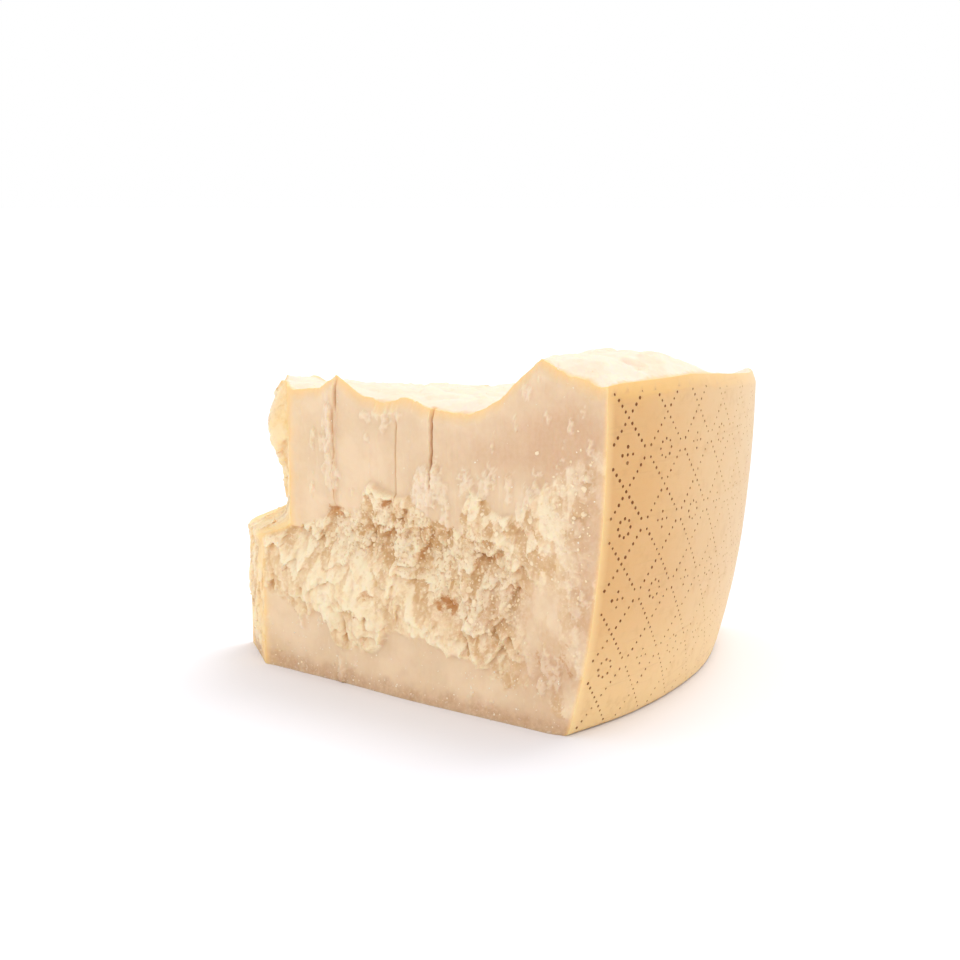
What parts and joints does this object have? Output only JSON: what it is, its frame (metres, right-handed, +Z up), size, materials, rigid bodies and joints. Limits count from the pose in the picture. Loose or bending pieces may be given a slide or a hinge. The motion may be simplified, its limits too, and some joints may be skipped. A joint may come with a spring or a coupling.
{
  "type": "wedge of hard grating cheese",
  "caption": "Half-height wedge broken from a wheel of hard aged cheese, with a barrel-shaped rind, a knife-cut and torn front face, a broken tip and a rough split top.",
  "frame": {"origin": "centre of the bounding box's bottom, on the flat foot that the wedge stands on", "axes": "+Z up, the wheel's own axis direction; +X to the right of the picture's view, along the wedge's longest extent; -Y towards the viewer, where the corner between cut face and rind points"},
  "size_m": [0.2055, 0.1541, 0.1266],
  "materials": {
    "cheese": "pale straw-coloured aged paste with a dull, dry, crumbly surface and a golden rind"
  },
  "bodies": {
    "root": {"cheese_wedge": "cheese"}
  },
  "joints": []
}
